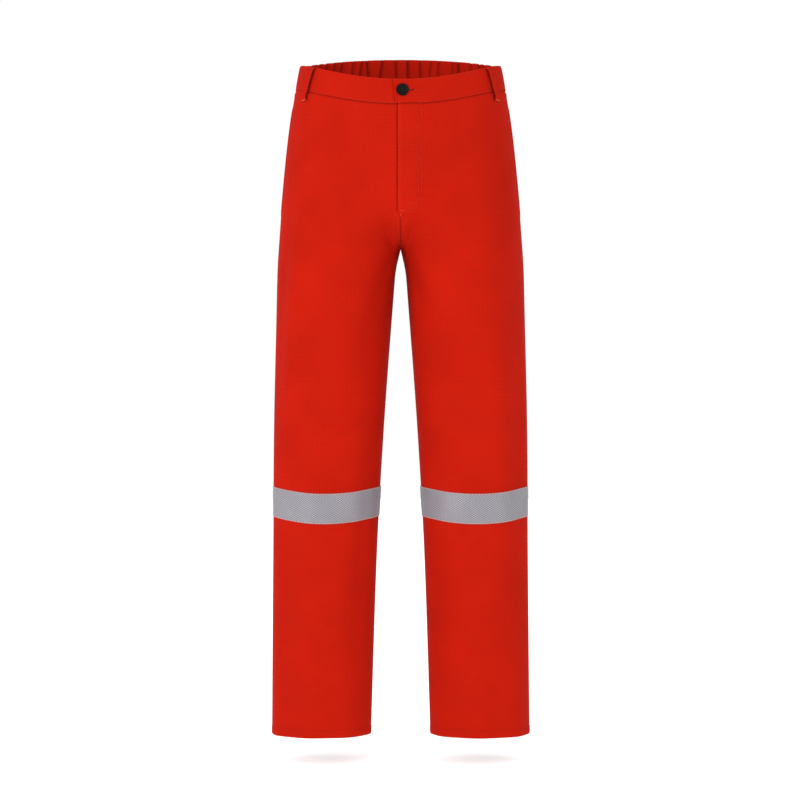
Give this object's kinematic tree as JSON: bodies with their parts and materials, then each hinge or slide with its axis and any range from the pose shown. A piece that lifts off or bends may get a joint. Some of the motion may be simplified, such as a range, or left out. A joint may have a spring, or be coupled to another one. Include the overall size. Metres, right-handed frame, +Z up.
{
  "type": "firefighter work trousers",
  "caption": "Flame-resistant work trousers with a buttoned, elasticated waistband, zip fly, belt loops, pockets and a reflective tape round each leg below the knee.",
  "frame": {"origin": "centre of the waist opening, level with the top of the waistband at the side seams", "axes": "+Z up towards the waist, +X to the wearer's left, -Y the front"},
  "size_m": [0.43, 0.2508, 1.143],
  "materials": {
    "shell_cloth": "red-orange aramid twill, matt",
    "pocket_lining": "dark red plain-weave pocketing",
    "elastic_webbing": "ribbed woven elastic",
    "reflective_tape": "silver-grey retroreflective tape with a fine lattice",
    "zip_webbing": "woven zip tape",
    "zip_metal": "satin brass",
    "button_plastic": "satin black",
    "button_thread": "black sewing thread"
  },
  "bodies": {
    "seat": {"left_front_panel": "shell_cloth", "left_back_panel": "shell_cloth", "right_front_panel": "shell_cloth", "right_back_panel": "shell_cloth", "waistband_left_front": "shell_cloth", "waistband_right_front": "shell_cloth", "waistband_back_casing": "shell_cloth", "waist_elastic": "elastic_webbing", "left_front_belt_loop": "shell_cloth", "left_back_belt_loop": "shell_cloth", "right_front_belt_loop": "shell_cloth", "right_back_belt_loop": "shell_cloth", "centre_back_belt_loop": "shell_cloth", "fly_facing": "shell_cloth", "fly_shield": "shell_cloth", "left_zip_tape": "zip_webbing", "left_zip_teeth": "zip_metal", "left_zip_top_stop": "zip_metal", "right_zip_tape": "zip_webbing", "right_zip_teeth": "zip_metal", "right_zip_top_stop": "zip_metal", "zip_bottom_stop": "zip_metal", "button_thread_shank": "button_thread", "left_side_pocket_bag": "pocket_lining", "left_back_pocket": "shell_cloth", "right_side_pocket_bag": "pocket_lining", "right_back_pocket": "shell_cloth"},
    "left_lower_leg": {"left_front_shin_panel": "shell_cloth", "left_back_shin_panel": "shell_cloth", "left_reflective_tape": "reflective_tape"},
    "right_lower_leg": {"right_front_shin_panel": "shell_cloth", "right_back_shin_panel": "shell_cloth", "right_reflective_tape": "reflective_tape"},
    "zip_slider": {"zip_slider": "zip_metal"},
    "zip_pull": {"zip_pull": "zip_metal"},
    "waist_button": {"waist_button": "button_plastic"}
  },
  "joints": [
    {"name": "left_knee", "type": "hinge", "parent": "seat", "child": "left_lower_leg", "pos_m": [0.12, 0, -0.605], "axis": [1, 0, 0], "range_deg": [0, 90]},
    {"name": "right_knee", "type": "hinge", "parent": "seat", "child": "right_lower_leg", "pos_m": [-0.12, 0, -0.605], "axis": [1, 0, 0], "range_deg": [0, 90]},
    {"name": "zip_slide", "type": "slide", "parent": "seat", "child": "zip_slider", "axis": [0, -0.004, -1], "range_m": [0, 0.133]},
    {"name": "zip_pull_swing", "type": "hinge", "parent": "zip_slider", "child": "zip_pull", "pos_m": [0.005, -0.1055, -0.0937], "axis": [-1, 0, 0], "range_deg": [0, 5]},
    {"name": "button_turn", "type": "hinge", "parent": "seat", "child": "waist_button", "pos_m": [0.003, -0.1107, -0.054], "axis": [0, -1, 0], "range_deg": [-40, 40], "stiffness_Nm_per_rad": 0.001}
  ]
}
